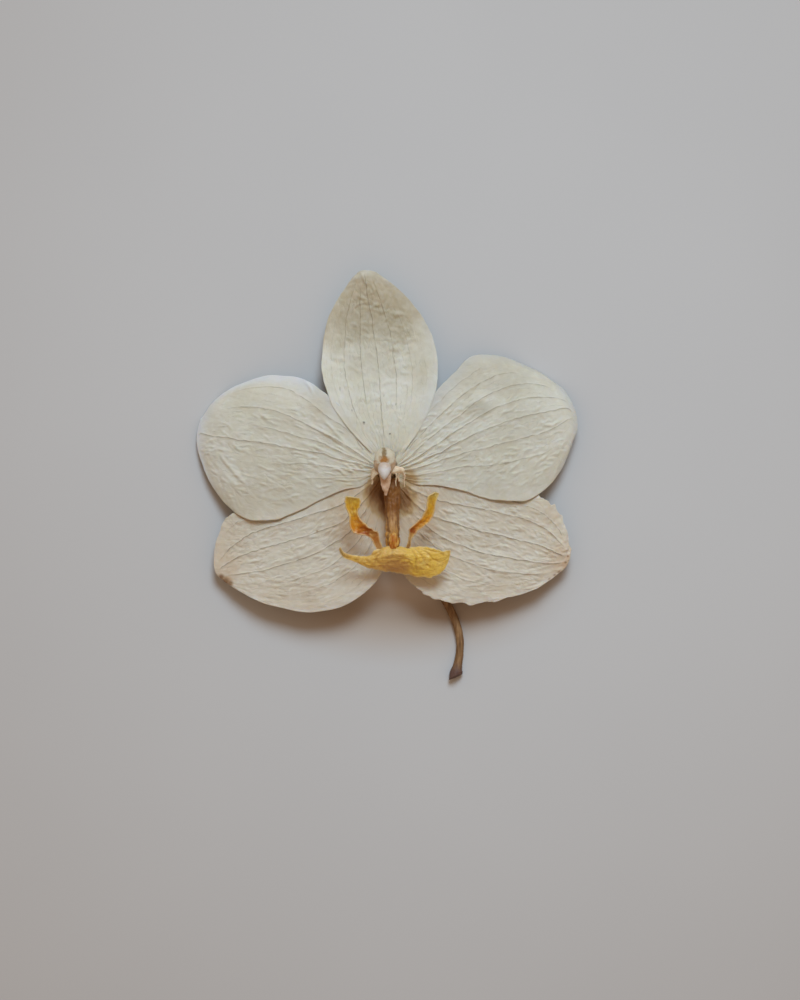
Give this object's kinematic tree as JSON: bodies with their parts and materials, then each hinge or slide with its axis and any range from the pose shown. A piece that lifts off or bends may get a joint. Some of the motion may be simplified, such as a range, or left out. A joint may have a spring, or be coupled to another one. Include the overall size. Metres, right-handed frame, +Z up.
{
  "type": "dried orchid",
  "caption": "Dried white moth orchid flower lying face up, with spread papery sepals and petals, a yellow lip, a pale column and a short brown stalk.",
  "frame": {"origin": "on the surface that the flower lies on, under the middle of its overall box, close to the flower's centre", "axes": "+Z up, out of the open face of the flower; +Y from the lip towards the dorsal sepal; +X to the right of someone looking down on its face"},
  "size_m": [0.0769, 0.082, 0.0156],
  "materials": {
    "tepal": "dry, papery, slightly translucent, matt with faint veins",
    "lip": "dry, waxy yellow to orange, thin and slightly translucent",
    "column": "dry brown tissue, matt",
    "anther_cap": "smooth, waxy white",
    "stalk": "dry, shrivelled brown stem, matt"
  },
  "bodies": {
    "root": {"dorsal_sepal": "tepal", "petal_left": "tepal", "petal_right": "tepal", "lateral_sepal_left": "tepal", "lateral_sepal_right": "tepal", "lip": "lip", "column": "column", "anther_cap": "anther_cap", "pedicel": "stalk"}
  },
  "joints": []
}
